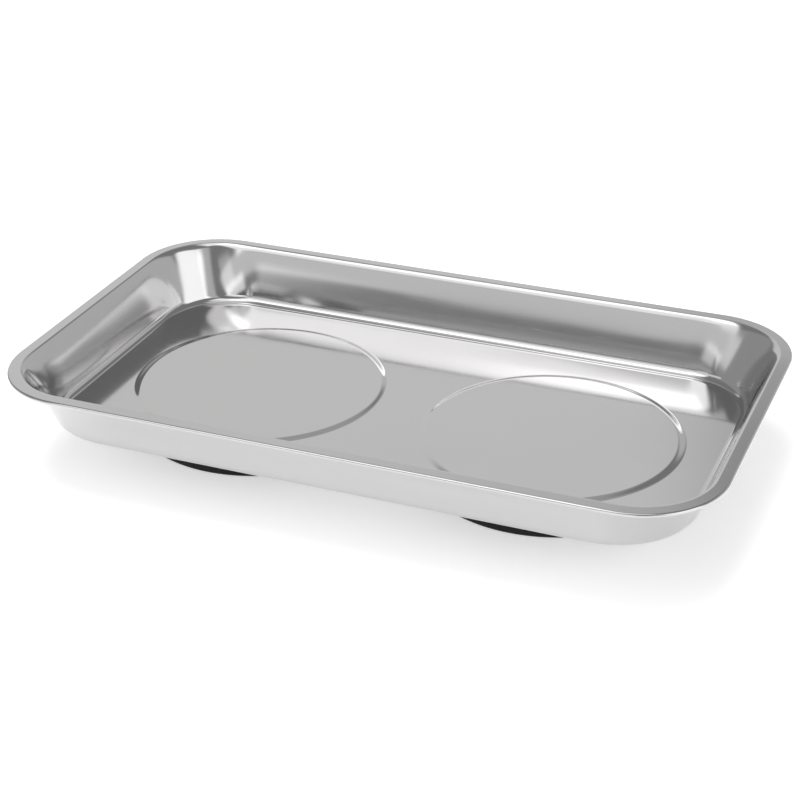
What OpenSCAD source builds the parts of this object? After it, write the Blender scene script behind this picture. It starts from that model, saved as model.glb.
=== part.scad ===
// Magnetic parts tray: a drawn steel pan that stands on two round magnet feet.
// The origin is on the surface it stands on, below the middle of the pan.
// X runs along the pan, Y towards its back wall, Z up.

/* [Tray pan] */
// Length over the lip
tray_l = 240; // [216:1:320]
// Width over the lip
tray_w = 140; // [125:1:220]
// Depth from the top of the lip down to the floor
pan_depth = 19.5; // [14:0.1:40]
// Thickness of the sheet
sheet_t = 0.7; // [0.5:0.05:1]
// Radius of the lip's corners, seen from above
corner_r = 28.5; // [20:0.5:40]
// Width of the lip, from its bend to its outer edge
lip_w = 3.8; // [2.8:0.1:7]
// Fall of the lip towards its outer edge, in degrees
lip_fall = 3; // [0:1:12]
// Lip left between the edge folded under and the bend
hem_gap = 0.7; // [0.4:0.1:1]
// Radius of the bend at the lip, on its upper side
lip_bend_r = 1.2; // [0.9:0.1:3]
// Radius of the shoulder between that bend and the wall
shoulder_r = 5; // [3:0.1:8]
// Radius of the bend from wall to floor, on the inside
floor_bend_r = 3; // [1:0.1:4]
// Lean from upright where the bend at the lip ends, in degrees
shoulder_lean = 45; // [35:1:60]
// Lean of the walls at their top, in degrees
wall_top_lean = 26; // [18:1:32]
// Lean of the walls at their foot, in degrees
wall_foot_lean = 13; // [4:1:16]

/* [Raised pads] */
// Flat floor between the two pads
pad_gap = 17; // [4:0.1:40]
// Height of a pad above the floor
pad_h = 0.5; // [0.3:0.1:2]
// Width of the sloping edge of a pad
pad_slope_w = 3; // [1:0.1:4]
// Room between a magnet and the edge of the pad's flat top
magnet_room = 0.7; // [0.4:0.1:3]

/* [Magnets] */
// Diameter of a ring magnet
magnet_d = 80; // [60:0.5:88]
// Thickness of a ring magnet
magnet_t = 7.5; // [6:0.1:15]
// Bevel on the edges of a ring magnet
magnet_bevel = 0.6; // [0.2:0.1:1]
// Room between the bore of a magnet and the well in it
bore_room = 1; // [0.3:0.1:3]

/* [Pole plates] */
// Thickness of a pole plate
plate_t = 1.5; // [1:0.1:2.5]
// How far a pole plate's edge lies inside the magnet's edge
plate_inset = 1; // [0:0.1:5]
// Width of the well that the nut sits in
well_d = 18; // [14:0.5:22]

/* [Rubber boots] */
// Thickness of a boot's wall
boot_wall = 2.95; // [1:0.05:4]
// Thickness of a boot's base above the tread
boot_base = 2.5; // [1.5:0.1:5]
// Depth of the tread grooves
tread_h = 1; // [0.4:0.1:2]
// Width of a tread groove
groove_w = 2; // [1:0.1:3]
// Number of tread grooves
groove_n = 4; // [1:1:5]
// Radius of a boot's lower edge
boot_edge_r = 1.2; // [0.4:0.1:2]

/* [Fasteners] */
// Diameter of a weld stud
stud_d = 5; // [4:0.5:6]
// How far a weld stud's flange stands out from its shank
stud_flange_w = 1.5; // [1:0.1:3]
// Thickness of a weld stud's flange
stud_flange_t = 1; // [0.6:0.1:1.5]
// Height of a stud's end above the surface
stud_recess = 1.2; // [0.5:0.1:2]
// Length of stud that shows past its nut
stud_show = 0.8; // [0.3:0.1:1.5]
// Thickness of a nut's wall at its flats
nut_wall = 1.5; // [1.3:0.1:2.5]
// Height of a nut, with its collar
nut_h = 5; // [4:0.1:6]
// Height of the round collar that holds the locking ring
collar_h = 1.5; // [1.2:0.1:2]
// How far the collar lies inside the nut's flats
collar_inset = 0.15; // [0.05:0.05:0.3]
// Thickness of the lip that the collar folds over its ring
collar_lip = 0.3; // [0.2:0.05:0.4]
// Thickness of the collar's wall
collar_wall = 0.45; // [0.3:0.05:0.6]
// Width of a washer's ring, from the stud outwards
washer_w = 2.5; // [2:0.1:4]
// Thickness of a washer
washer_t = 1; // [0.5:0.1:1.5]

/* [Clearances] */
// Radial clearance of a pole plate that turns on its stud
turn_fit = 0.08; // [0.02:0.01:0.1]
// Radial clearance of a nut and its ring on the stud
thread_fit = 0.03; // [0.01:0.01:0.05]
// Radial clearance of a locking ring in its collar
ring_fit = 0.03; // [0.01:0.01:0.05]
// Radial clearance of a washer on its stud
washer_fit = 0.15; // [0.05:0.01:0.3]
// Radial clearance of a boot on its magnet
boot_fit = 0.05; // [0.02:0.01:0.1]
// Gap between a boot's rim and the pan
boot_rim_gap = 0.3; // [0.2:0.05:1]

/* [Hidden] */
$fn = 128;
arc_steps = 10;
cut_over = 1;

steel = [0.76, 0.76, 0.75];
zinc = [0.62, 0.63, 0.65];
ferrite = [0.16, 0.16, 0.17];
rubber = [0.07, 0.07, 0.075];
nylon = [0.20, 0.33, 0.62];

// Heights, from the surface up
plate_z = tread_h + boot_base;
magnet_z = plate_z + plate_t;
pad_under_z = magnet_z + magnet_t;
pad_top_z = pad_under_z + sheet_t;
floor_z = pad_top_z - pad_h;
floor_under_z = floor_z - sheet_t;
lip_z = floor_z + pan_depth;
boot_top_z = floor_under_z - boot_rim_gap;
nut_z = stud_recess + stud_show;
washer_z = nut_z + nut_h;
well_z = washer_z + washer_t;

// Section of the pan's wall, measured outwards from a corner's axis: a bend, a shoulder, a wall that
// curves a little, as drawn sheet does when it springs back, and a bend into the floor
lip_bend_u = corner_r - lip_w;
lip_bend_z = lip_z - lip_bend_r;
shoulder_u = lip_bend_u + (shoulder_r - lip_bend_r) * cos(shoulder_lean);
shoulder_z = lip_bend_z - (shoulder_r - lip_bend_r) * sin(shoulder_lean);
floor_bend_z = floor_z + floor_bend_r;
wall_r = (shoulder_z + shoulder_r * sin(wall_top_lean) - floor_bend_z + floor_bend_r * sin(wall_foot_lean))
    / (sin(wall_top_lean) - sin(wall_foot_lean));
wall_u = shoulder_u + (wall_r - shoulder_r) * cos(wall_top_lean);
wall_z = shoulder_z - (wall_r - shoulder_r) * sin(wall_top_lean);
floor_u = wall_u - (wall_r + floor_bend_r) * cos(wall_foot_lean);
lip_start_u = lip_bend_u + lip_bend_r * sin(lip_fall);
lip_start_z = lip_bend_z + lip_bend_r * cos(lip_fall);
lip_run = (corner_r - sheet_t * (1 - sin(lip_fall)) - lip_start_u) / cos(lip_fall);
side_l = tray_l - 2 * corner_r;
side_w = tray_w - 2 * corner_r;

// Radii and places of the feet
pad_flat_r = magnet_d / 2 + magnet_room;
pad_r = pad_flat_r + pad_slope_w;
foot_x = pad_gap / 2 + pad_r;
well_r = well_d / 2;
well_wall_r = well_r + plate_t;
bore_r = well_wall_r + bore_room;
plate_r = magnet_d / 2 - plate_inset;
boot_bore_r = magnet_d / 2 + boot_fit;
boot_r = boot_bore_r + boot_wall;
stud_r = stud_d / 2;
stud_flange_r = stud_r + stud_flange_w;
washer_r = stud_r + washer_w;
nut_bore_r = stud_r + thread_fit;
nut_flat_r = stud_r + nut_wall;
collar_r = nut_flat_r - collar_inset;
ring_seat_r = collar_r - collar_wall;
ring_r = ring_seat_r - ring_fit;
tread_pitch = (boot_r - well_r - groove_w) / (groove_n + 1);

// Points on an arc about [u, z], with angles from the upright: 0 is up, 90 is outwards
function arc(u, z, r, from, to) =
    [for (i = [0 : arc_steps])
        let (a = from + (to - from) * i / arc_steps)
        [u + r * sin(a), z + r * cos(a)]];

function reversed(points) = [for (i = [len(points) - 1 : -1 : 0]) points[i]];

// Bend, shoulder and wall of the sheet's side that lies this deep under its upper side, from the lip down
function wall_side(deep) = concat(
    arc(lip_bend_u, lip_bend_z, lip_bend_r - deep, lip_fall, shoulder_lean - 90),
    arc(shoulder_u, shoulder_z, shoulder_r - deep, shoulder_lean - 90, wall_top_lean - 90),
    arc(wall_u, wall_z, wall_r - deep, wall_top_lean - 90, wall_foot_lean - 90),
    arc(floor_u, floor_bend_z, floor_bend_r + deep, 90 + wall_foot_lean, 180)
);

// A point of the lip, so far out from its bend and so deep under its upper side
function lip_point(out, deep) = [
    lip_start_u + out * cos(lip_fall) - deep * sin(lip_fall),
    lip_start_z - out * sin(lip_fall) - deep * cos(lip_fall)
];

// Both sides of one sheet, from the floor's upper side over the lip and back to its lower side
function pan_section() =
    let (edge = lip_point(lip_run, sheet_t))
    concat(
        [[0, floor_under_z], [0, floor_z]],
        reversed(wall_side(0)),
        arc(edge[0], edge[1], sheet_t, lip_fall, 180 + lip_fall),
        [lip_point(hem_gap, 2 * sheet_t), lip_point(hem_gap, sheet_t)],
        wall_side(sheet_t)
    );

// Smooth slope at a pad's edge, from the floor at height z up to the pad's top
function pad_slope(z) =
    [for (i = [0 : arc_steps])
        [pad_r - pad_slope_w * i / arc_steps, z + pad_h * (1 - cos(180 * i / arc_steps)) / 2]];

module pan_corner() {
    rotate_extrude(angle = 90)
        polygon(pan_section());
}

module pan_side(run) {
    rotate([90, 0, 90])
        linear_extrude(run, center = true)
            polygon(pan_section());
}

// The four corners, the four sides and the floor between them
module plain_pan() {
    for (turn = [0, 180])
        rotate(turn) {
            translate([side_l / 2, side_w / 2, 0])
                pan_corner();
            translate([-side_l / 2, side_w / 2, 0])
                rotate(90)
                    pan_corner();
            translate([0, side_w / 2, 0])
                pan_side(side_l);
            translate([side_l / 2, 0, 0])
                rotate(-90)
                    pan_side(side_w);
        }
    translate([-side_l / 2, -side_w / 2, floor_under_z])
        cube([side_l, side_w, sheet_t]);
}

module pad_rise() {
    inside_z = (floor_z + floor_under_z) / 2;
    rotate_extrude()
        polygon(concat([[0, inside_z], [pad_r, inside_z]], pad_slope(floor_z), [[0, pad_top_z]]));
}

module pad_recess() {
    below_z = floor_under_z - cut_over;
    rotate_extrude()
        polygon(concat([[0, below_z], [pad_r, below_z]], pad_slope(floor_under_z), [[0, pad_under_z]]));
}

// The four sides of a ring's section with bevelled corners
function bevelled(r_in, r_out, z, h, bevel) = [
    [r_in + bevel, z], [r_out - bevel, z],
    [r_out, z + bevel], [r_out, z + h - bevel],
    [r_out - bevel, z + h], [r_in + bevel, z + h],
    [r_in, z + h - bevel], [r_in, z + bevel]
];

module at_foot(side) {
    translate([side * foot_x, 0, 0])
        children();
}

module tray_pan() {
    color(steel)
        difference() {
            union() {
                plain_pan();
                for (side = [-1, 1])
                    at_foot(side)
                        pad_rise();
            }
            for (side = [-1, 1])
                at_foot(side)
                    pad_recess();
        }
}

// Flange against the pad, shank down through plate, washer and nut
module weld_stud() {
    tip = stud_show / 2;
    color(zinc)
        rotate_extrude()
            polygon([
                [0, stud_recess], [stud_r - tip, stud_recess],
                [stud_r, stud_recess + tip], [stud_r, pad_under_z - stud_flange_t],
                [stud_flange_r, pad_under_z - stud_flange_t],
                [stud_flange_r, pad_under_z], [0, pad_under_z]
            ]);
}

module magnet() {
    color(ferrite)
        rotate_extrude()
            polygon(bevelled(bore_r, magnet_d / 2, magnet_z, magnet_t, magnet_bevel));
}

// Flat plate with a well pressed up into the magnet's bore
module pole_plate() {
    hole_r = stud_r + turn_fit;
    bend = plate_t / 4;
    color(zinc)
        rotate_extrude()
            polygon([
                [hole_r, well_z], [well_r, well_z], [well_r, plate_z + bend],
                [well_r + bend, plate_z], [plate_r, plate_z], [plate_r, magnet_z],
                [well_wall_r, magnet_z], [well_wall_r, well_z + plate_t - bend],
                [well_wall_r - bend, well_z + plate_t], [hole_r, well_z + plate_t]
            ]);
}

// Cup with round grooves in its underside and a hole below the well
module boot() {
    color(rubber)
        difference() {
            rotate_extrude()
                polygon(concat(
                    [[well_r, 0]],
                    arc(boot_r - boot_edge_r, boot_edge_r, boot_edge_r, 180, 90),
                    [
                        [boot_r, boot_top_z], [boot_bore_r, boot_top_z],
                        [boot_bore_r, plate_z], [well_r, plate_z]
                    ]
                ));
            for (i = [1 : groove_n])
                rotate_extrude()
                    translate([well_r + i * tread_pitch, -cut_over])
                        square([groove_w, tread_h + cut_over]);
        }
}

module washer() {
    color(zinc)
        translate([0, 0, washer_z])
            difference() {
                cylinder(r = washer_r, h = washer_t);
                translate([0, 0, -cut_over])
                    cylinder(r = stud_r + washer_fit, h = washer_t + 2 * cut_over);
            }
}

// Hexagon above, round collar below, open inside the collar for the locking ring
module lock_nut() {
    color(zinc)
        translate([0, 0, nut_z])
            difference() {
                union() {
                    translate([0, 0, collar_h])
                        cylinder(r = nut_flat_r / cos(30), h = nut_h - collar_h, $fn = 6);
                    cylinder(r = collar_r, h = collar_h);
                }
                translate([0, 0, -cut_over])
                    cylinder(r = nut_bore_r, h = nut_h + 2 * cut_over);
                translate([0, 0, -cut_over])
                    cylinder(r = ring_r - collar_lip, h = collar_h + cut_over);
                translate([0, 0, collar_lip])
                    cylinder(r = ring_seat_r, h = collar_h - collar_lip);
            }
}

module nut_ring() {
    color(nylon)
        translate([0, 0, nut_z + collar_lip])
            difference() {
                cylinder(r = ring_r, h = collar_h - collar_lip);
                translate([0, 0, -cut_over])
                    cylinder(r = nut_bore_r, h = collar_h + cut_over);
            }
}

tray_pan();
at_foot(-1) weld_stud();  // left_weld_stud
at_foot(-1) magnet();  // left_magnet
at_foot(-1) pole_plate();  // left_pole_plate
at_foot(-1) boot();  // left_boot
at_foot(-1) washer();  // left_washer
at_foot(-1) lock_nut();  // left_lock_nut
at_foot(-1) nut_ring();  // left_nut_ring
at_foot(1) weld_stud();  // right_weld_stud
at_foot(1) magnet();  // right_magnet
at_foot(1) pole_plate();  // right_pole_plate
at_foot(1) boot();  // right_boot
at_foot(1) washer();  // right_washer
at_foot(1) lock_nut();  // right_lock_nut
at_foot(1) nut_ring();  // right_nut_ring
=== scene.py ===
"""Looks of a magnetic parts tray: a polished steel pan on two rubber-booted magnet feet."""
import math
from collections import namedtuple

import bpy
from mathutils import Matrix, Vector
from mathutils.geometry import tessellate_polygon


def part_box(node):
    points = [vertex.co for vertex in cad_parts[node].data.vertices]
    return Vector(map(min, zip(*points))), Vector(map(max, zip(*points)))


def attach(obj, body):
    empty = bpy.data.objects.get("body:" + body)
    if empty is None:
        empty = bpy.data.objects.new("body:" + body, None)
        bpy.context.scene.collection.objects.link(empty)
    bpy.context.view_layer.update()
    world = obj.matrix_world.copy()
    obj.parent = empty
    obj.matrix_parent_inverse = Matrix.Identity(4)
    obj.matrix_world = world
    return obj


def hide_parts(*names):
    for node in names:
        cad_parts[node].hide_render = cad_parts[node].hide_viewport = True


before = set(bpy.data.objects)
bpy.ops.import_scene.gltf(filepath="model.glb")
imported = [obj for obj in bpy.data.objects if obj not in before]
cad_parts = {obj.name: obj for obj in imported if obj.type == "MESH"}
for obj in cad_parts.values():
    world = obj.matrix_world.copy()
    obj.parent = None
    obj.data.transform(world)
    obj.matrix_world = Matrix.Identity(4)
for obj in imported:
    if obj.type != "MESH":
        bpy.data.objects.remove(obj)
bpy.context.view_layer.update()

MM = 0.001
QUARTER = math.pi / 2
SIDES = {"left": -1, "right": 1}

# Places and sizes that the frame gives
pan_low, pan_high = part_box("tray_pan")
boot_low, boot_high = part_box("right_boot")
magnet_low, magnet_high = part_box("right_magnet")
plate_low, plate_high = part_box("right_pole_plate")
stud_low, stud_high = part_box("right_weld_stud")
washer_low, washer_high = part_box("right_washer")
nut_low, nut_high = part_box("right_lock_nut")
ring_low, ring_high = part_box("right_nut_ring")
TRAY_L = pan_high.x - pan_low.x
TRAY_W = pan_high.y - pan_low.y
LIP_Z = pan_high.z
FLOOR_UNDER_Z = pan_low.z
FOOT_X = (boot_low.x + boot_high.x) / 2
BOOT_R = (boot_high.x - boot_low.x) / 2
MAGNET_R = (magnet_high.x - magnet_low.x) / 2
PLATE_R = (plate_high.x - plate_low.x) / 2
STUD_FLANGE_R = (stud_high.x - stud_low.x) / 2
WASHER_R = (washer_high.x - washer_low.x) / 2
RING_R = (ring_high.x - ring_low.x) / 2

# Sheet metal of the pan; a lean is an angle from upright
SHEET_T = 0.7 * MM
CORNER_R = 28.5 * MM
FLOOR_CORNER_R = 23.5 * MM
LIP_W = 3.8 * MM
LIP_FALL = math.radians(3)
HEM_GAP = 0.7 * MM
LIP_BEND_R = 1.2 * MM
SHOULDER_R = 5 * MM
FLOOR_BEND_R = 3 * MM
SHOULDER_LEAN = math.radians(45)
WALL_TOP_LEAN = math.radians(26)
WALL_FOOT_LEAN = math.radians(13)
PAD_H = 0.5 * MM
PAD_SLOPE_W = 3 * MM
MAGNET_ROOM = 0.7 * MM

# Height of each wave in a straight wall, and the half waves in the wall's length
WALL_WAVES = [(0.035 * MM, 2), (0.012 * MM, 5)]

# How far before and after a corner's start the sheet eases into it, and the radius of that corner
EASE = 9 * MM
EASE_R = 22 * MM

# Derived sizes of the pan
FLOOR_Z = FLOOR_UNDER_Z + SHEET_T
LIP_BEND_U = CORNER_R - LIP_W
LIP_BEND_Z = LIP_Z - LIP_BEND_R
SHOULDER_U = LIP_BEND_U + (SHOULDER_R - LIP_BEND_R) * math.cos(SHOULDER_LEAN)
SHOULDER_Z = LIP_BEND_Z - (SHOULDER_R - LIP_BEND_R) * math.sin(SHOULDER_LEAN)
FLOOR_BEND_Z = FLOOR_Z + FLOOR_BEND_R
WALL_DROP = (SHOULDER_Z + SHOULDER_R * math.sin(WALL_TOP_LEAN)
             - FLOOR_BEND_Z + FLOOR_BEND_R * math.sin(WALL_FOOT_LEAN))
WALL_R = WALL_DROP / (math.sin(WALL_TOP_LEAN) - math.sin(WALL_FOOT_LEAN))
WALL_U = SHOULDER_U + (WALL_R - SHOULDER_R) * math.cos(WALL_TOP_LEAN)
WALL_Z = SHOULDER_Z - (WALL_R - SHOULDER_R) * math.sin(WALL_TOP_LEAN)
FLOOR_U = WALL_U - (WALL_R + FLOOR_BEND_R) * math.cos(WALL_FOOT_LEAN)
LIP_START_U = LIP_BEND_U + LIP_BEND_R * math.sin(LIP_FALL)
LIP_START_Z = LIP_BEND_Z + LIP_BEND_R * math.cos(LIP_FALL)
LIP_RUN = (CORNER_R - SHEET_T * (1 - math.sin(LIP_FALL)) - LIP_START_U) / math.cos(LIP_FALL)
SIDE_L = TRAY_L - 2 * CORNER_R
SIDE_W = TRAY_W - 2 * CORNER_R
CORNER_DRAW = FLOOR_CORNER_R - FLOOR_U
DRAW_DEPTH = LIP_START_Z - FLOOR_Z
PAD_FLAT_R = MAGNET_R + MAGNET_ROOM
PAD_R = PAD_FLAT_R + PAD_SLOPE_W

# Boot, magnet and plate of a foot
WELL_R = 9 * MM
WELL_ROOM = 1 * MM
WELL_Z = washer_high.z
PLATE_T = 1.5 * MM
WELL_WALL_R = WELL_R + PLATE_T
BORE_R = WELL_WALL_R + WELL_ROOM
MAGNET_FIT = 0.05 * MM
BOOT_BORE_R = MAGNET_R + MAGNET_FIT
BOOT_EDGE_R = 1.2 * MM
TREAD_H = 1 * MM
GROOVE_W = 2 * MM
GROOVES = 4
TREAD_PITCH = (BOOT_R - WELL_R - GROOVE_W) / (GROOVES + 1)

# Stud, washer and nut of a foot; a fit is the play round the stud, and a flat is a sixth of the way round
STUD_R = 2.5 * MM
STUD_FLANGE_T = 1 * MM
STUD_TIP = 0.4 * MM
THREAD_PITCH = 0.8 * MM
THREAD_DEPTH = 0.45 * MM
THREAD_STEEPNESS = 1.6
THREAD_CREST = 0.3
PLATE_FIT = 0.08 * MM
WASHER_FIT = 0.15 * MM
NUT_FIT = 0.03 * MM
NUT_WALL = 1.5 * MM
HALF_FLAT = math.pi / 6
COLLAR_STEP = 0.15 * MM
COLLAR_WALL = 0.45 * MM
TURN_GAP = 0.02 * MM
PLATE_HOLE_R = STUD_R + PLATE_FIT
WASHER_HOLE_R = STUD_R + WASHER_FIT
NUT_BORE_R = STUD_R + NUT_FIT
NUT_FLAT_R = STUD_R + NUT_WALL
COLLAR_R = NUT_FLAT_R - COLLAR_STEP
COLLAR_H = ring_high.z - nut_low.z
RING_SEAT_R = COLLAR_R - COLLAR_WALL

# How finely curves are cut, and the angles from which an edge is shaded as sharp
BEND_STEPS = 14
CORNER_STEPS = 48
SIDE_STEP = 2 * MM
WALL_STEPS = 30
LIP_STEPS = 4
PAD_SEGMENTS = 192
SLOPE_STEPS = 18
FOOT_SEGMENTS = 192
SMALL_SEGMENTS = 96
EDGE_STEPS = 6
THREAD_STEPS = 14
NUT_SHARP = math.radians(35)
THREAD_SHARP = math.radians(50)

# Looks: the span that most of a noise lies in, and the haze of the walls, which grows between two heights
WHITE = (1, 1, 1, 1)
NOISE_SPAN = (0.3, 0.7)
WALL_HAZE = 0.06
HAZE_FOOT_Z = FLOOR_Z + 2 * MM
HAZE_TOP_Z = FLOOR_Z + 5 * MM

# The studio, in metres; azimuth 0 is behind the tray and 90 degrees to its right
FLOOR_SIZE = 8
FLOOR_TONE = 0.75
FLOOR_GLOW = 0.5
LAMP_AZIMUTH = math.radians(-60)
LAMP_ELEVATION = math.radians(74)
LAMP_SPREAD = math.radians(32)
LAMP_STRENGTH = 1.3
ROOM_LEVEL = 0.25
BACKDROP_FOOT = math.radians(1)
BACKDROP_TOP = math.radians(4)

# Far panels of light, in degrees; width and height are half angles
SoftBox = namedtuple("SoftBox", "azimuth elevation width height blur strength")
SOFT_BOXES = [
    SoftBox(-140, 60, 7.5, 10, 4, 0.75),
    SoftBox(-149, 53, 13, 18, 5, 0.95),
    SoftBox(180, 77, 14, 9, 5, 1.0),
    SoftBox(105, 21, 17, 21, 9, 1.18),
    SoftBox(135, 32, 7, 16, 6, 0.35),
    SoftBox(173, 27, 6, 8, 5, 0.28),
    SoftBox(-34, 17.5, 17, 17, 9, 0.5),
    SoftBox(-24, 52, 11, 9, 8, 0.2),
    SoftBox(-50, 80, 10, 9, 6, 0.6),
    SoftBox(36, 12, 40, 20, 7, 0.34),
    SoftBox(-160, 24, 34, 8, 4, 0.48),
    SoftBox(176, 4, 9, 12, 5, 0.7),
    SoftBox(-147, 8, 6, 7, 5, 0.5),
    SoftBox(-100, 15, 30, 18, 10, 0.12),
]

# Camera at the photograph's viewing angle; lens and sensor are in millimetres
CAMERA_AZIMUTH = math.radians(22.4)
CAMERA_ELEVATION = math.radians(27.72)
CAMERA_ROLL = math.radians(-0.59)
CAMERA_DISTANCE = 659.7 * MM
CAMERA_TARGET = Vector((-12.16 * MM, 27.62 * MM, 0))
CAMERA_LENS = 84.49
CAMERA_SENSOR = 36

# A row of a section: place, normal, and how a wave in the sheet moves it and tilts its normal
Row = namedtuple("Row", "u z nu nz move tilt_u tilt_z", defaults=(0, 0, 0))

# A place on the way round: its axis and outward direction, the wave's height and slope there, how far
# the sheet has turned from that direction as it eases into a corner, how far the floor's rounder corner
# is drawn in and how that grows along the way, and whether the way turns there
Place = namedtuple("Place", "x y nx ny wave slope turn pull grade bent", defaults=(0, 0, 0, 0, 0, False))


def new_object(name, verts, faces, normals=()):
    """Mesh object from points and faces, smooth, with one normal per face corner where given."""
    mesh = bpy.data.meshes.new(name)
    mesh.from_pydata([tuple(v) for v in verts], [], faces)
    mesh.shade_smooth()
    if normals:
        mesh.normals_split_custom_set([tuple(n) for n in normals])
    mesh.update()
    obj = bpy.data.objects.new(name, mesh)
    bpy.context.scene.collection.objects.link(obj)
    return obj


class Sheet:
    """Collects points, faces and, where they are given, the normals of the faces' corners."""

    def __init__(self):
        self.verts = []
        self.faces = []
        self.normals = []

    def point(self, x, y, z):
        self.verts.append((x, y, z))
        return len(self.verts) - 1

    def face(self, corners, normals=()):
        self.faces.append(corners)
        self.normals.extend(normals)

    def build(self, name):
        return new_object(name, self.verts, self.faces, self.normals)


def arc(u, z, r, start, end, facing, steps=BEND_STEPS):
    """Rows on an arc about u, z; angle 0 is up and a quarter turn is outwards."""
    rows = []
    for i in range(steps + 1):
        a = start + (end - start) * i / steps
        s, c = math.sin(a), math.cos(a)
        rows.append(Row(u + r * s, z + r * c, facing * s, facing * c))
    return rows


def line(start, end, normal, steps=1):
    """Rows from one (u, z) point to another with one normal."""
    rows = []
    for i in range(steps + 1):
        t = i / steps
        u = start[0] + (end[0] - start[0]) * t
        z = start[1] + (end[1] - start[1]) * t
        rows.append(Row(u, z, *normal))
    return rows


def rounded(corners, steps=EDGE_STEPS):
    """Rows of a closed section through (u, z, radius) corners, anticlockwise, each corner rounded."""
    rows = []
    for k, (u, z, radius) in enumerate(corners):
        here = Vector((u, z))
        way_in = (here - Vector(corners[k - 1][:2])).normalized()
        way_out = (Vector(corners[(k + 1) % len(corners)][:2]) - here).normalized()
        turn = math.atan2(way_in.cross(way_out), way_in.dot(way_out))
        facing = math.atan2(-way_in.x, way_in.y)
        r = math.copysign(radius, turn)
        start = here - way_in * radius * math.tan(abs(turn) / 2)
        centre = start - Vector((math.cos(facing), math.sin(facing))) * r
        for i in range(steps + 1):
            a = facing + turn * i / steps
            normal = Vector((math.cos(a), math.sin(a)))
            rows.append(Row(*(centre + normal * r), *normal))
    return rows


def circle_path(x, segments):
    """Places round an upright axis, anticlockwise."""
    turns = [2 * math.pi * i / segments for i in range(segments)]
    return [Place(x, 0.0, math.cos(a), math.sin(a)) for a in turns]


def side_wave(t, length):
    """Height and slope of the slight wave that drawing leaves in a wall, at t of its length."""
    wave = slope = 0
    for size, waves in WALL_WAVES:
        wave += size * math.sin(waves * math.pi * t)
        slope += size * waves * math.pi / length * math.cos(waves * math.pi * t)
    return wave, slope


def ease_turn(into):
    """How far the sheet turns from a plain arc, this far into a corner, as it eases into the bend."""
    return max(0, EASE - abs(into)) ** 2 / (4 * EASE * EASE_R)


def side_pull(into):
    """How far the floor is drawn in on a side, this far from a corner, and how that falls."""
    left = max(0, CORNER_DRAW - into)
    root = math.sqrt(FLOOR_CORNER_R ** 2 - left ** 2)
    return FLOOR_CORNER_R - root, left / root


def corner_pull(bent):
    """How far the floor is drawn in at this angle round a corner, and how that grows."""
    total = CORNER_DRAW * (math.cos(bent) + math.sin(bent))
    root = math.sqrt(total ** 2 - 2 * CORNER_DRAW ** 2 + FLOOR_CORNER_R ** 2)
    grade = CORNER_DRAW * (math.cos(bent) - math.sin(bent)) * (1 - total / root)
    return FLOOR_U + total - root, grade


def corner_places(x, y, start):
    """Places round one corner of the pan, whose axis is at x, y."""
    places = []
    for i in range(CORNER_STEPS):
        bent = QUARTER * i / CORNER_STEPS
        a = start + bent
        turn = ease_turn(EASE_R * bent) - ease_turn(EASE_R * (QUARTER - bent))
        pull, grade = corner_pull(bent)
        places.append(Place(x, y, math.cos(a), math.sin(a), turn=turn, pull=pull, grade=grade, bent=True))
    return places


def side_places(x, y, end_x, end_y, facing):
    """Places along one straight side of the pan, from one corner's axis to the next one's."""
    places = []
    length = math.hypot(end_x - x, end_y - y)
    steps = round(length / SIDE_STEP)
    for i in range(steps):
        t = i / steps
        turn = ease_turn(length * (1 - t)) - ease_turn(length * t)
        wave, slope = side_wave(t, length)
        start_pull, start_grade = side_pull(length * t)
        end_pull, end_grade = side_pull(length * (1 - t))
        places.append(Place(
            x + (end_x - x) * t, y + (end_y - y) * t, math.cos(facing), math.sin(facing),
            wave, slope, turn, start_pull + end_pull, end_grade - start_grade,
        ))
    return places


def rim_path():
    """Places once round the pan, anticlockwise."""
    half_l, half_w = SIDE_L / 2, SIDE_W / 2
    corners = [(half_l, half_w), (-half_l, half_w), (-half_l, -half_w), (half_l, -half_w)]
    places = []
    for k, corner in enumerate(corners):
        after = corners[(k + 1) % len(corners)]
        places += corner_places(*corner, k * QUARTER)
        places += side_places(*corner, *after, (k + 1) * QUARTER)
    return places


def pull_share(row):
    """Share of a corner's draw that a row of the pan takes: none at the lip, all at the floor."""
    if row.u > LIP_START_U:
        return 0
    return min(1, max(0, (LIP_START_Z - row.z) / DRAW_DEPTH))


def point_at(place, row):
    """Where a row of a section lies at a place on the way round."""
    u = row.u + row.nu * row.move * place.wave - pull_share(row) * place.pull
    z = row.z + row.nz * row.move * place.wave
    return place.x + u * place.nx, place.y + u * place.ny, z


def normal_at(place, row):
    """Which way a row of a section faces at a place on the way round."""
    u = row.nu - row.tilt_u * place.wave
    z = row.nz - row.tilt_z * place.wave
    share = pull_share(row)
    if share > 0:
        z -= u * place.pull / DRAW_DEPTH
    run = row.u - share * place.pull if place.bent else 1
    turn = (1 - share) * math.tan(place.turn) + share * place.grade / run
    along = u * turn - row.move * place.slope
    x = u * place.nx - along * place.ny
    y = u * place.ny + along * place.nx
    return Vector((x, y, z)).normalized()


def ring_of_points(sheet, path, row):
    """Points of one row, once round the path."""
    return [sheet.point(*point_at(place, row)) for place in path]


def uneven_ring(sheet, path, radii, z):
    """Points at one height, once round the path, each at its own radius."""
    ring = []
    for place, r in zip(path, radii):
        ring.append(sheet.point(place.x + r * place.nx, place.y + r * place.ny, z))
    return ring


def join_rings(sheet, path, lower, upper, lower_row, upper_row):
    """Quads between two closed rings, with the section's normals turned to each direction."""
    for i, j in zip(range(-1, len(path) - 1), range(len(path))):
        corners = (lower[i], lower[j], upper[j], upper[i])
        normals = [
            normal_at(path[i], lower_row), normal_at(path[j], lower_row),
            normal_at(path[j], upper_row), normal_at(path[i], upper_row),
        ]
        sheet.face(corners, normals)


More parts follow.
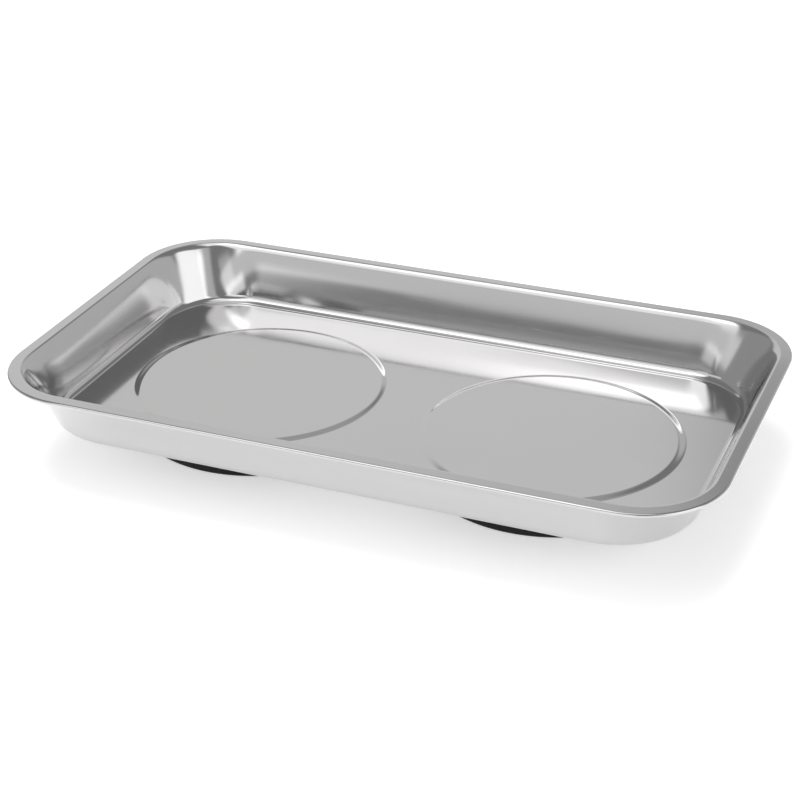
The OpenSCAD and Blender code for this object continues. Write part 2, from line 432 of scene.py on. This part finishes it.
def join_plain(sheet, lower, upper):
    """Quads between two closed rings, without normals of their own."""
    for i in range(len(lower)):
        j = (i + 1) % len(lower)
        sheet.face((lower[i], lower[j], upper[j], upper[i]))


def lathe(name, rows, x, segments):
    """Closed ring about an upright axis at x, turned from a closed section."""
    sheet = Sheet()
    path = circle_path(x, segments)
    rings = [ring_of_points(sheet, path, row) for row in rows]
    for k, row in enumerate(rows):
        after = (k + 1) % len(rows)
        join_rings(sheet, path, rings[k], rings[after], row, rows[after])
    return sheet.build(name)


def waved(rows, facing):
    """A wall's rows with their shares of a wave, most above and below the middle, none at the ends."""
    last = len(rows) - 1
    moves = []
    for i in range(last + 1):
        a = math.pi * i / last
        moves.append(-facing * math.sin(2 * a) * math.sin(a) ** 2)
    result = []
    for i, row in enumerate(rows):
        a, b = max(i - 1, 0), min(i + 1, last)
        run_u, run_z = rows[b].u - rows[a].u, rows[b].z - rows[a].z
        grade = (moves[b] - moves[a]) / (run_u ** 2 + run_z ** 2)
        result.append(row._replace(move=moves[i], tilt_u=grade * run_u, tilt_z=grade * run_z))
    return result


def wall_strips(deep, facing):
    """Bend, shoulder, wall and floor bend, from the lip down, this deep under the upper side."""
    shoulder_turn = SHOULDER_LEAN - QUARTER
    top_turn = WALL_TOP_LEAN - QUARTER
    foot_turn = WALL_FOOT_LEAN - QUARTER
    wall = arc(WALL_U, WALL_Z, WALL_R - deep, top_turn, foot_turn, facing, WALL_STEPS)
    return [
        arc(LIP_BEND_U, LIP_BEND_Z, LIP_BEND_R - deep, LIP_FALL, shoulder_turn, facing),
        arc(SHOULDER_U, SHOULDER_Z, SHOULDER_R - deep, shoulder_turn, top_turn, facing),
        waved(wall, facing),
        arc(FLOOR_U, FLOOR_BEND_Z, FLOOR_BEND_R + deep, QUARTER + WALL_FOOT_LEAN, math.pi, -facing),
    ]


def lip_point(out, deep):
    """A point of the lip, so far out from its bend and so deep under its upper side."""
    s, c = math.sin(LIP_FALL), math.cos(LIP_FALL)
    return LIP_START_U + out * c - deep * s, LIP_START_Z - out * s - deep * c


def pan_section():
    """Strips of the pan's section, from the floor inside, over the lip, to the floor underneath."""
    s, c = math.sin(LIP_FALL), math.cos(LIP_FALL)
    edge = arc(*lip_point(LIP_RUN, SHEET_T), SHEET_T, LIP_FALL, LIP_FALL + math.pi, 1)
    hem_low, hem_high = lip_point(HEM_GAP, 2 * SHEET_T), lip_point(HEM_GAP, SHEET_T)
    return [
        *[strip[::-1] for strip in reversed(wall_strips(0, 1))],
        line(lip_point(0, 0), edge[0], (s, c), LIP_STEPS),
        edge,
        line(edge[-1], hem_low, (-s, -c), LIP_STEPS),
        line(hem_low, hem_high, (-c, s)),
        line(hem_high, lip_point(0, SHEET_T), (-s, -c)),
        *wall_strips(SHEET_T, -1),
    ]


def pad_rings(sheet, x, z, facing):
    """A pad's sloping edge and flat top; returns the ring of points at its foot."""
    path = circle_path(x, PAD_SEGMENTS)
    rows = []
    for i in range(SLOPE_STEPS + 1):
        t = i / SLOPE_STEPS
        rise = PAD_H * (1 - math.cos(math.pi * t)) / 2
        slope = PAD_H * math.pi * math.sin(math.pi * t) / 2 / PAD_SLOPE_W
        size = math.hypot(1, slope)
        rows.append(Row(PAD_R - PAD_SLOPE_W * t, z + rise, facing * slope / size, facing / size))
    rings = [ring_of_points(sheet, path, row) for row in rows]
    for k in range(SLOPE_STEPS):
        if facing > 0:
            join_rings(sheet, path, rings[k], rings[k + 1], rows[k], rows[k + 1])
        else:
            join_rings(sheet, path, rings[k + 1], rings[k], rows[k + 1], rows[k])
    top = rings[-1] if facing > 0 else rings[-1][::-1]
    sheet.face(top, [(0, 0, facing)] * len(top))
    return rings[0]


def fill_floor(sheet, outline, holes, facing):
    """Flat triangles between the floor's outline and the feet of the pads."""
    loops = [[Vector(sheet.verts[i]) for i in ring] for ring in [outline] + holes]
    index = [i for ring in [outline] + holes for i in ring]
    for triangle in tessellate_polygon(loops):
        a, b, c = (index[i] for i in triangle)
        pa, pb, pc = (Vector(sheet.verts[i]) for i in (a, b, c))
        if (pb - pa).cross(pc - pa).z * facing < 0:
            b, c = c, b
        sheet.face((a, b, c), [(0, 0, facing)] * 3)


def make_pan():
    """Drawn pan: the section swept round the rim, then pads and floor on both sides of the sheet."""
    sheet = Sheet()
    path = rim_path()
    strips = pan_section()
    first = ring = ring_of_points(sheet, path, strips[0][0])
    for strip in strips:
        for lower_row, upper_row in zip(strip, strip[1:]):
            following = ring_of_points(sheet, path, upper_row)
            join_rings(sheet, path, following, ring, upper_row, lower_row)
            ring = following
    upper_pads = [pad_rings(sheet, side * FOOT_X, FLOOR_Z, 1) for side in SIDES.values()]
    under_pads = [pad_rings(sheet, side * FOOT_X, FLOOR_UNDER_Z, -1) for side in SIDES.values()]
    fill_floor(sheet, first, upper_pads, 1)
    fill_floor(sheet, ring, under_pads, -1)
    return sheet.build("pan")


def make_boot(name, x):
    """Rubber cup with rounded tread grooves and the fine ridge that its mould leaves."""
    edge = 0.3 * MM
    ridge = 0.12 * MM
    ridge_z = (boot_low.z + boot_high.z) / 2
    corners = [(WELL_R, 0, edge)]
    for i in range(1, GROOVES + 1):
        near = WELL_R + i * TREAD_PITCH
        far = near + GROOVE_W
        corners += [(near, 0, edge), (near, TREAD_H, edge), (far, TREAD_H, edge), (far, 0, edge)]
    corners += [
        (BOOT_R, 0, BOOT_EDGE_R),
        (BOOT_R, ridge_z - 2 * ridge, ridge),
        (BOOT_R + ridge, ridge_z, ridge / 2),
        (BOOT_R, ridge_z + 2 * ridge, ridge),
        (BOOT_R, boot_high.z, 2 * edge),
        (BOOT_BORE_R, boot_high.z, edge),
        (BOOT_BORE_R, plate_low.z, edge),
        (WELL_R, plate_low.z, edge),
    ]
    return lathe(name, rounded(corners), x, FOOT_SEGMENTS)


def make_magnet(name, x):
    """Ring magnet, bevelled on all its edges."""
    bevel = 0.6 * MM
    edge = 0.15 * MM
    low, high = magnet_low.z, magnet_high.z
    corners = [
        (BORE_R + bevel, low, edge), (MAGNET_R - bevel, low, edge),
        (MAGNET_R, low + bevel, edge), (MAGNET_R, high - bevel, edge),
        (MAGNET_R - bevel, high, edge), (BORE_R + bevel, high, edge),
        (BORE_R, high - bevel, edge), (BORE_R, low + bevel, edge),
    ]
    return lathe(name, rounded(corners), x, FOOT_SEGMENTS)


def make_pole_plate(name, x):
    """Pressed plate whose well keeps the radii of the press tool."""
    press_r = 1.2 * MM
    edge = 0.25 * MM
    low, high = plate_low.z, plate_low.z + PLATE_T
    corners = [
        (PLATE_HOLE_R, WELL_Z, edge), (WELL_R, WELL_Z, press_r / 2), (WELL_R, low, press_r),
        (PLATE_R, low, edge), (PLATE_R, high, edge), (WELL_WALL_R, high, press_r / 2),
        (WELL_WALL_R, WELL_Z + PLATE_T, press_r), (PLATE_HOLE_R, WELL_Z + PLATE_T, edge),
    ]
    return lathe(name, rounded(corners), x, SMALL_SEGMENTS)


def make_washer(name, x):
    """Stamped washer, rounded where the punch entered and just clear of the plate that turns on it."""
    hole_edge = 0.3 * MM
    rim_edge = 0.35 * MM
    sheared_edge = 0.08 * MM
    low, high = washer_low.z, washer_high.z - TURN_GAP
    corners = [
        (WASHER_HOLE_R, low, hole_edge), (WASHER_R, low, rim_edge),
        (WASHER_R, high, sheared_edge), (WASHER_HOLE_R, high, sheared_edge),
    ]
    return lathe(name, rounded(corners), x, SMALL_SEGMENTS)


def make_nut_ring(name, x):
    """Locking ring that sits in the collar of a nut."""
    edge = 0.12 * MM
    corners = [
        (NUT_BORE_R, ring_low.z, edge), (RING_R, ring_low.z, edge),
        (RING_R, ring_high.z, edge), (NUT_BORE_R, ring_high.z, edge),
    ]
    return lathe(name, rounded(corners), x, SMALL_SEGMENTS)


def hexagon_radii():
    """Distance from a nut's axis to its six flats, at each step round it."""
    radii = []
    for i in range(SMALL_SEGMENTS):
        turn = (2 * math.pi * i / SMALL_SEGMENTS + HALF_FLAT) % (2 * HALF_FLAT) - HALF_FLAT
        radii.append(NUT_FLAT_R / math.cos(turn))
    return radii


def make_lock_nut(name, x):
    """Hexagon nut with turned chamfers and a rolled collar below."""
    edge = 0.1 * MM
    chamfer = 0.35 * MM
    collar_edge = 0.3 * MM
    collar_lip = 0.3 * MM
    low, high = nut_low.z, nut_high.z
    hex_z = low + COLLAR_H
    lip_r = RING_R - collar_lip
    flats = hexagon_radii()
    corner_r = NUT_FLAT_R / math.cos(HALF_FLAT)
    face_r = NUT_FLAT_R - edge
    corners = [
        (lip_r, low, edge), (COLLAR_R, low, collar_edge), (COLLAR_R, hex_z, edge),
        (face_r, hex_z, edge), (corner_r, hex_z + chamfer, edge), (corner_r, high - chamfer, edge),
        (face_r, high, edge), (NUT_BORE_R, high, edge), (NUT_BORE_R, hex_z, edge),
        (RING_SEAT_R, hex_z, edge), (RING_SEAT_R, ring_low.z, edge), (lip_r, ring_low.z, edge),
    ]
    sheet = Sheet()
    path = circle_path(x, SMALL_SEGMENTS)
    rings = []
    for row in rounded(corners):
        rings.append(uneven_ring(sheet, path, [min(row.u, flat) for flat in flats], row.z))
    for lower, upper in zip(rings, rings[1:] + rings[:1]):
        join_plain(sheet, lower, upper)
    nut = sheet.build(name)
    nut.data.set_sharp_from_angle(angle=NUT_SHARP)
    return nut


def thread_radius(z, turn):
    """Radius of the shank: a screw thread that fades out at the tip and under the flange."""
    phase = (z / THREAD_PITCH - turn) % 1
    groove = min(1, max(0, THREAD_STEEPNESS * (1 - abs(2 * phase - 1)) - THREAD_CREST))
    fade = min(1, max(0, (stud_high.z - STUD_FLANGE_T - THREAD_PITCH - z) / THREAD_PITCH))
    tip = max(0, STUD_TIP - (z - stud_low.z))
    return min(STUD_R - THREAD_DEPTH * groove * fade, STUD_R - tip)


def make_weld_stud(name, x):
    """Screw thread below a round flange that is welded to the pad."""
    edge = 0.2 * MM
    low, flange_z, high = stud_low.z, stud_high.z - STUD_FLANGE_T, stud_high.z
    flange = rounded([
        (0, flange_z, edge), (STUD_FLANGE_R, flange_z, edge),
        (STUD_FLANGE_R, high, edge / 4), (0, high, edge),
    ])
    outer_rows = flange[EDGE_STEPS + 1:-EDGE_STEPS - 1]
    sheet = Sheet()
    path = circle_path(x, SMALL_SEGMENTS)
    steps = round((flange_z - low) / THREAD_PITCH * THREAD_STEPS)
    rings = []
    for k in range(steps + 1):
        z = low + (flange_z - low) * k / steps
        radii = [thread_radius(z, i / SMALL_SEGMENTS) for i in range(SMALL_SEGMENTS)]
        rings.append(uneven_ring(sheet, path, radii, z))
    rings += [ring_of_points(sheet, path, row) for row in outer_rows]
    for lower, upper in zip(rings, rings[1:]):
        join_plain(sheet, lower, upper)
    sheet.face(rings[0][::-1])
    sheet.face(rings[-1])
    stud = sheet.build(name)
    stud.data.set_sharp_from_angle(angle=THREAD_SHARP)
    return stud


def feed(tree, socket, value):
    """Links an input to another node's output, or sets it to a value."""
    if isinstance(value, bpy.types.NodeSocket):
        tree.links.new(value, socket)
    else:
        socket.default_value = value


def set_inputs(tree, node, **inputs):
    """Feeds a node's inputs by socket name, with _ for a space."""
    for key, value in inputs.items():
        feed(tree, node.inputs[key.replace("_", " ")], value)


def add_node(tree, kind, settings=None, **inputs):
    """New node with its settings and its inputs."""
    node = tree.nodes.new(kind)
    for key, value in (settings or {}).items():
        setattr(node, key, value)
    set_inputs(tree, node, **inputs)
    return node


def add_math(tree, operation, *values):
    """Result of one operation on numbers or on outputs of other nodes."""
    node = add_node(tree, "ShaderNodeMath", {"operation": operation})
    for socket, value in zip(node.inputs, values):
        feed(tree, socket, value)
    return node.outputs["Value"]


def add_sum(tree, first, *others):
    """Sum of any count of numbers or outputs."""
    total = first
    for value in others:
        total = add_math(tree, "ADD", total, value)
    return total


def add_range(tree, value, span, target, shape="LINEAR"):
    """A value carried over from one span to another, and held at that one's ends."""
    node = add_node(
        tree, "ShaderNodeMapRange", {"interpolation_type": shape},
        Value=value, From_Min=span[0], From_Max=span[1], To_Min=target[0], To_Max=target[1],
    )
    return node.outputs["Result"]


def add_mix(tree, factor, first, second):
    """Colour between two others."""
    node = add_node(
        tree, "ShaderNodeMix", {"data_type": "RGBA"}, Factor=factor, A=(*first, 1), B=(*second, 1),
    )
    return node.outputs["Result"]


def add_height(tree, vector):
    """The upright share of a vector."""
    return add_node(tree, "ShaderNodeSeparateXYZ", Vector=vector).outputs["Z"]


def own_place(tree):
    """Coordinates that belong to the piece itself."""
    return add_node(tree, "ShaderNodeTexCoord").outputs["Object"]


def add_noise(tree, scale, detail, stretch=None, turn=0):
    """Noise on a piece; scale is waves per metre, stretch slows it along axes, turn is in degrees."""
    place = own_place(tree)
    if stretch is not None:
        place = add_node(
            tree, "ShaderNodeMapping", {"vector_type": "POINT"},
            Vector=place, Scale=stretch, Rotation=(0, 0, math.radians(turn)),
        ).outputs["Vector"]
    return add_node(tree, "ShaderNodeTexNoise", Vector=place, Scale=scale, Detail=detail).outputs["Fac"]


def add_bump(tree, shader, height, strength, distance):
    """Fine relief in the shading of a surface."""
    bump = add_node(tree, "ShaderNodeBump", Height=height, Strength=strength, Distance=distance)
    set_inputs(tree, shader, Normal=bump.outputs["Normal"])


def new_material(name, **inputs):
    """Material with the constants of its shader set; returns it with its tree and shader."""
    material = bpy.data.materials.new(name)
    material.use_nodes = True
    tree = material.node_tree
    shader = tree.nodes["Principled BSDF"]
    set_inputs(tree, shader, **inputs)
    return material, tree, shader


def polished_stainless():
    """Bright drawn sheet: near mirror, with a soft haze, wipe marks and hairline scratches."""
    material, tree, shader = new_material("polished_stainless", Metallic=1.0)
    haze = add_noise(tree, scale=22, detail=3)
    wipe = add_noise(tree, scale=90, detail=4, stretch=(1, 9, 9), turn=20)
    hairline = add_noise(tree, scale=3600, detail=2, stretch=(0.008, 1, 1), turn=64)
    height = add_height(tree, own_place(tree))
    rough = add_sum(
        tree,
        add_range(tree, haze, NOISE_SPAN, (0.05, 0.09)),
        add_range(tree, wipe, (0.45, 0.75), (0, 0.02)),
        add_range(tree, height, (HAZE_FOOT_Z, HAZE_TOP_Z), (0, WALL_HAZE)),
        add_range(tree, hairline, (0.68, 0.74), (0, 0.12)),
    )
    tint = add_mix(tree, haze, (0.655, 0.65, 0.65), (0.625, 0.62, 0.62))
    set_inputs(tree, shader, Roughness=rough, Base_Color=tint)
    add_bump(tree, shader, hairline, strength=0.06, distance=0.02 * MM)
    return material


def zinc_plate():
    """Bright zinc plating with faint spangle and handling marks."""
    material, tree, shader = new_material("zinc_plate", Metallic=1.0)
    cells = add_node(tree, "ShaderNodeTexVoronoi", Vector=own_place(tree), Scale=900)
    cloud = add_noise(tree, scale=260, detail=4)
    rough = add_range(tree, cloud, NOISE_SPAN, (0.24, 0.42))
    tint = add_mix(tree, cloud, (0.66, 0.67, 0.70), (0.54, 0.55, 0.57))
    set_inputs(tree, shader, Roughness=rough, Base_Color=tint)
    add_bump(tree, shader, cells.outputs["Distance"], strength=0.12, distance=0.05 * MM)
    return material


def sintered_ferrite():
    """Dull grey-black ceramic with a gritty pressed surface."""
    material, tree, shader = new_material("sintered_ferrite", Metallic=0.0)
    grit = add_noise(tree, scale=2600, detail=5)
    cloud = add_noise(tree, scale=120, detail=3)
    rough = add_range(tree, grit, NOISE_SPAN, (0.5, 0.75))
    tint = add_mix(tree, cloud, (0.020, 0.020, 0.022), (0.038, 0.037, 0.038))
    set_inputs(tree, shader, Roughness=rough, Base_Color=tint)
    add_bump(tree, shader, grit, strength=0.3, distance=0.08 * MM)
    return material


def black_rubber():
    """Moulded rubber: fine eroded texture and a cloudy bloom."""
    material, tree, shader = new_material("black_rubber", Metallic=0.0, Specular_IOR_Level=0.3)
    grain = add_noise(tree, scale=3200, detail=4)
    bloom = add_noise(tree, scale=70, detail=4)
    rough = add_range(tree, bloom, NOISE_SPAN, (0.55, 0.72))
    tint = add_mix(tree, bloom, (0.008, 0.008, 0.0085), (0.016, 0.016, 0.016))
    set_inputs(tree, shader, Roughness=rough, Base_Color=tint)
    add_bump(tree, shader, grain, strength=0.35, distance=0.06 * MM)
    return material


def blue_nylon():
    """Slightly waxy moulded nylon."""
    material, tree, shader = new_material(
        "blue_nylon", Metallic=0.0, Subsurface_Weight=0.1, Subsurface_Scale=0.4 * MM,
    )
    cloud = add_noise(tree, scale=700, detail=3)
    rough = add_range(tree, cloud, NOISE_SPAN, (0.38, 0.5))
    tint = add_mix(tree, cloud, (0.030, 0.085, 0.33), (0.045, 0.11, 0.38))
    set_inputs(tree, shader, Roughness=rough, Base_Color=tint)
    add_bump(tree, shader, cloud, strength=0.1, distance=0.05 * MM)
    return material


def white_floor():
    """White studio floor that glows only where it is seen or mirrored, so that it looks white."""
    tone = (FLOOR_TONE, FLOOR_TONE, FLOOR_TONE, 1)
    material, tree, shader = new_material(
        "white_floor", Base_Color=tone, Roughness=0.9, Emission_Color=WHITE,
    )
    rays = add_node(tree, "ShaderNodeLightPath").outputs
    seen = add_sum(tree, rays["Is Camera Ray"], rays["Is Glossy Ray"], rays["Is Transmission Ray"])
    set_inputs(tree, shader, Emission_Strength=add_math(tree, "MULTIPLY", seen, FLOOR_GLOW))
    return material


def dress(piece, node, body, material):
    """Puts a piece in its CAD node's place, on its body, with its material."""
    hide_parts(node)
    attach(piece, body)
    piece.data.materials.append(material)


def make_floor():
    """Level square that the tray stands on."""
    half = FLOOR_SIZE / 2
    corners = [(-half, -half, 0), (half, -half, 0), (half, half, 0), (-half, half, 0)]
    floor = new_object("studio_floor", corners, [(0, 1, 2, 3)])
    floor.data.materials.append(white_floor())


def make_lamp():
    """Large soft lamp from the back left, which shapes the shadow and is not mirrored by the steel."""
    data = bpy.data.lights.new("soft_lamp", "SUN")
    data.energy = LAMP_STRENGTH
    data.angle = LAMP_SPREAD
    lamp = bpy.data.objects.new("soft_lamp", data)
    lamp.visible_glossy = False
    lamp.rotation_euler = (QUARTER - LAMP_ELEVATION, 0, math.pi - LAMP_AZIMUTH)
    bpy.context.scene.collection.objects.link(lamp)


def add_dot(tree, direction, axis):
    """How far a direction runs along an axis."""
    node = add_node(tree, "ShaderNodeVectorMath", {"operation": "DOT_PRODUCT"}, Vector=direction)
    node.inputs[1].default_value = axis
    return node.outputs["Value"]


def add_window(tree, direction, axis, facing, half, blur):
    """1 within a half angle of a soft box's middle, along one of its axes, and 0 past the blur."""
    angle = add_math(tree, "ARCTAN2", add_dot(tree, direction, axis), add_dot(tree, direction, facing))
    span = (math.radians(half + blur), math.radians(half))
    return add_range(tree, add_math(tree, "ABSOLUTE", angle), span, (0, 1), "SMOOTHSTEP")


def add_soft_box(tree, direction, box):
    """Light of one soft box in a direction."""
    az, el = math.radians(box.azimuth), math.radians(box.elevation)
    facing = Vector((math.sin(az) * math.cos(el), math.cos(az) * math.cos(el), math.sin(el)))
    across = Vector((math.cos(az), -math.sin(az), 0))
    wide = add_window(tree, direction, across, facing, box.width, box.blur)
    high = add_window(tree, direction, across.cross(facing), facing, box.height, box.blur)
    return add_math(tree, "MULTIPLY", add_math(tree, "MULTIPLY", wide, high), box.strength)


def make_world():
    """Dim room with large soft boxes, and a white backdrop that the floor goes over into."""
    world = bpy.data.worlds.new("studio")
    bpy.context.scene.world = world
    world.use_nodes = True
    tree = world.node_tree
    direction = add_node(tree, "ShaderNodeTexCoord").outputs["Generated"]
    room = add_sum(tree, ROOM_LEVEL, *[add_soft_box(tree, direction, box) for box in SOFT_BOXES])
    backdrop = add_range(tree, add_height(tree, direction), (BACKDROP_FOOT, BACKDROP_TOP), (1, 0))
    light = add_math(tree, "MAXIMUM", room, backdrop)
    set_inputs(tree, tree.nodes["Background"], Strength=light, Color=WHITE)


def make_camera():
    """Camera that looks at its target from the photograph's side."""
    az, el = CAMERA_AZIMUTH, CAMERA_ELEVATION
    back = Vector((math.sin(az) * math.cos(el), -math.cos(az) * math.cos(el), math.sin(el)))
    level_right = Vector((math.cos(az), math.sin(az), 0))
    level_up = back.cross(level_right)
    cos_roll, sin_roll = math.cos(CAMERA_ROLL), math.sin(CAMERA_ROLL)
    right = level_right * cos_roll + level_up * sin_roll
    up = level_up * cos_roll - level_right * sin_roll
    data = bpy.data.cameras.new("camera")
    data.lens = CAMERA_LENS
    data.sensor_width = CAMERA_SENSOR
    camera = bpy.data.objects.new("camera", data)
    bpy.context.scene.collection.objects.link(camera)
    turn = Matrix((right, up, back)).transposed().to_4x4()
    camera.matrix_world = Matrix.Translation(CAMERA_TARGET + back * CAMERA_DISTANCE) @ turn
    bpy.context.scene.camera = camera


stainless = polished_stainless()
zinc = zinc_plate()
ferrite = sintered_ferrite()
rubber = black_rubber()
nylon = blue_nylon()

dress(make_pan(), "tray_pan", "tray", stainless)
for side, sign in SIDES.items():
    foot = side + "_foot"
    foot_x = sign * FOOT_X
    dress(make_boot(side + "_rubber_cup", foot_x), side + "_boot", foot, rubber)
    dress(make_magnet(side + "_ring_magnet", foot_x), side + "_magnet", foot, ferrite)
    dress(make_pole_plate(side + "_pressed_plate", foot_x), side + "_pole_plate", foot, zinc)
    dress(make_weld_stud(side + "_stud", foot_x), side + "_weld_stud", "tray", zinc)
    dress(make_washer(side + "_flat_washer", foot_x), side + "_washer", "tray", zinc)
    dress(make_lock_nut(side + "_nut", foot_x), side + "_lock_nut", "tray", zinc)
    dress(make_nut_ring(side + "_locking_ring", foot_x), side + "_nut_ring", "tray", nylon)

make_floor()
make_lamp()
make_world()
make_camera()
bpy.context.scene.view_settings.view_transform = "Standard"
